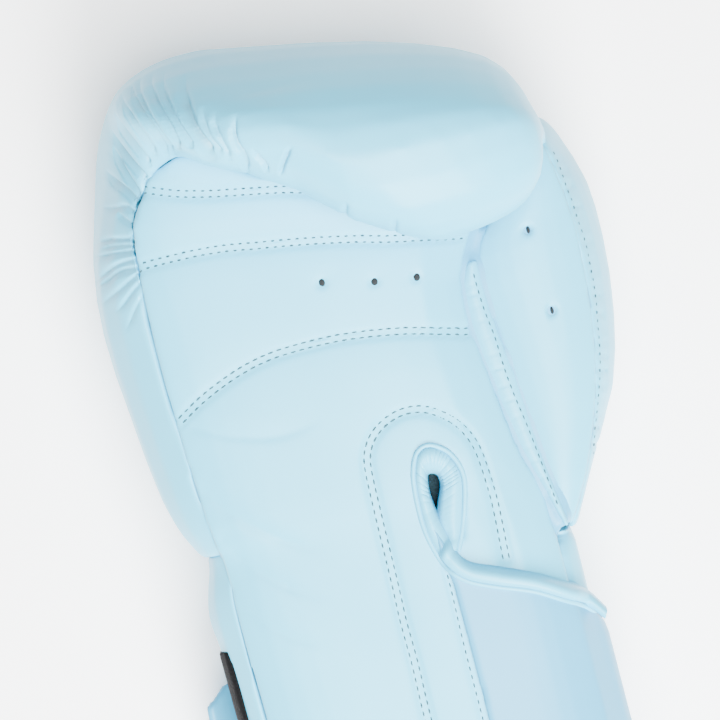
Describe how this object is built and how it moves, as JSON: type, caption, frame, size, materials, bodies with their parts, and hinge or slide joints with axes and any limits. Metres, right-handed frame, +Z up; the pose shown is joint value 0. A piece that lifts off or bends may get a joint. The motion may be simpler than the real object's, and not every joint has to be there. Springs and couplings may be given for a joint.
{
  "type": "boxing glove",
  "caption": "Right-hand training glove in pale leather: curled padded fist, attached thumb, vented palm, slotted cuff and a wide wrist strap.",
  "frame": {"origin": "on the surface that the glove lies on, below the middle of its bounding box", "axes": "+Y towards the fist, +X towards the thumb, +Z up out of the palm, with the back of the hand down"},
  "size_m": [0.1745, 0.2898, 0.135],
  "materials": {
    "leather": "smooth satin, pale ice white",
    "leather_trim": "smooth satin, folded edges",
    "leather_strap": "smooth satin, pale ice white",
    "loop_pile": "matte looped pile, black",
    "lining": "matte woven lining, slate",
    "thread": "waxed sewing thread"
  },
  "bodies": {
    "root": {"hand_shell": "leather", "crescent_panel": "leather", "finger_panel": "leather", "vent_panel": "leather", "lower_palm": "leather", "slot_panel": "leather", "slot_binding": "leather_trim", "thumb_back": "leather", "thumb_panel": "leather", "thumb_strip": "leather_trim", "cuff_back": "leather", "strap": "leather_strap", "loop_pile": "loop_pile", "cuff_lining": "lining", "mouth_binding": "leather_trim"}
  },
  "joints": []
}
